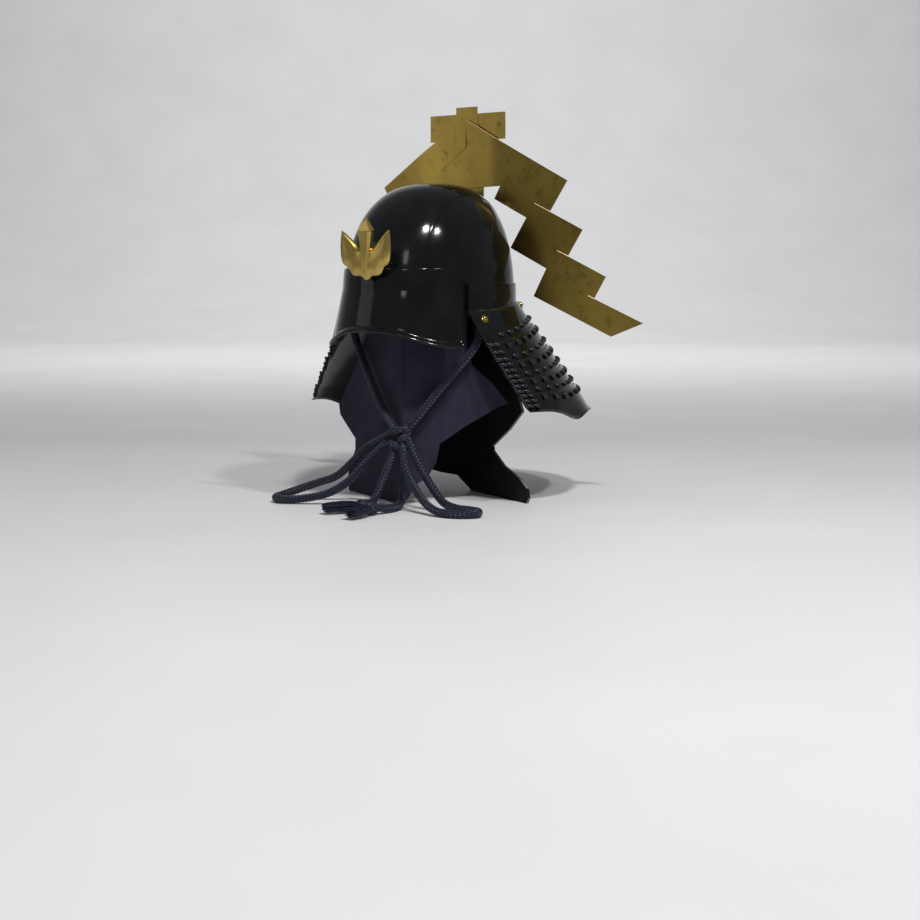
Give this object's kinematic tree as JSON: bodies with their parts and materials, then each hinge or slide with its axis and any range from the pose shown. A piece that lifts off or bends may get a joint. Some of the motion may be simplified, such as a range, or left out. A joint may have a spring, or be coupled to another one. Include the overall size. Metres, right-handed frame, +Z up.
{
  "type": "kabuto samurai helmet on a folding display stand",
  "caption": "Black lacquered samurai helmet with a flared plate neck guard, gilt front and rear crests, a tied navy chin cord and a plum folding board stand inside",
  "frame": {"origin": "centre of the helmet's and stand's box in X and Y, at the foot of the stand; the cord lies on the same level in front", "axes": "+Z up, -Y the way the helmet faces, +X the wearer's left"},
  "size_m": [0.5138, 0.4912, 0.526],
  "materials": {
    "black_lacquer": "gloss",
    "polished_gold": "polished",
    "satin_gold": "satin",
    "dark_iron": "satin",
    "plum_cloth": "woven",
    "navy_cord": "braided"
  },
  "bodies": {
    "root": {"bowl_crown_plate": "black_lacquer", "bowl_left_plate": "black_lacquer", "bowl_right_plate": "black_lacquer", "brow_plate": "black_lacquer", "rear_band": "black_lacquer", "neck_top_plate": "black_lacquer", "neck_lame_1": "black_lacquer", "neck_lame_2": "black_lacquer", "neck_lame_3": "black_lacquer", "neck_lame_4": "black_lacquer", "stud_left": "polished_gold", "stud_rear_left": "polished_gold", "stud_rear_right": "polished_gold", "stud_right": "polished_gold", "rear_crest_streamer_left": "polished_gold", "rear_crest_streamer_right": "polished_gold", "rear_crest_stem": "polished_gold", "rear_crest_plate": "polished_gold", "front_crest": "satin_gold", "front_crest_holder": "dark_iron", "rear_crest_holder": "dark_iron", "cord_ring_left": "dark_iron", "cord_ring_right": "dark_iron", "stand_front_board": "plum_cloth", "stand_rear_board": "plum_cloth", "chin_strand_left": "navy_cord", "chin_strand_right": "navy_cord", "bow_loop_left": "navy_cord", "bow_loop_right": "navy_cord", "cord_tail_left": "navy_cord", "cord_tail_right": "navy_cord", "chin_knot": "navy_cord", "end_knot_left": "navy_cord", "end_knot_right": "navy_cord", "tuft_left": "navy_cord", "tuft_right": "navy_cord"}
  },
  "joints": []
}
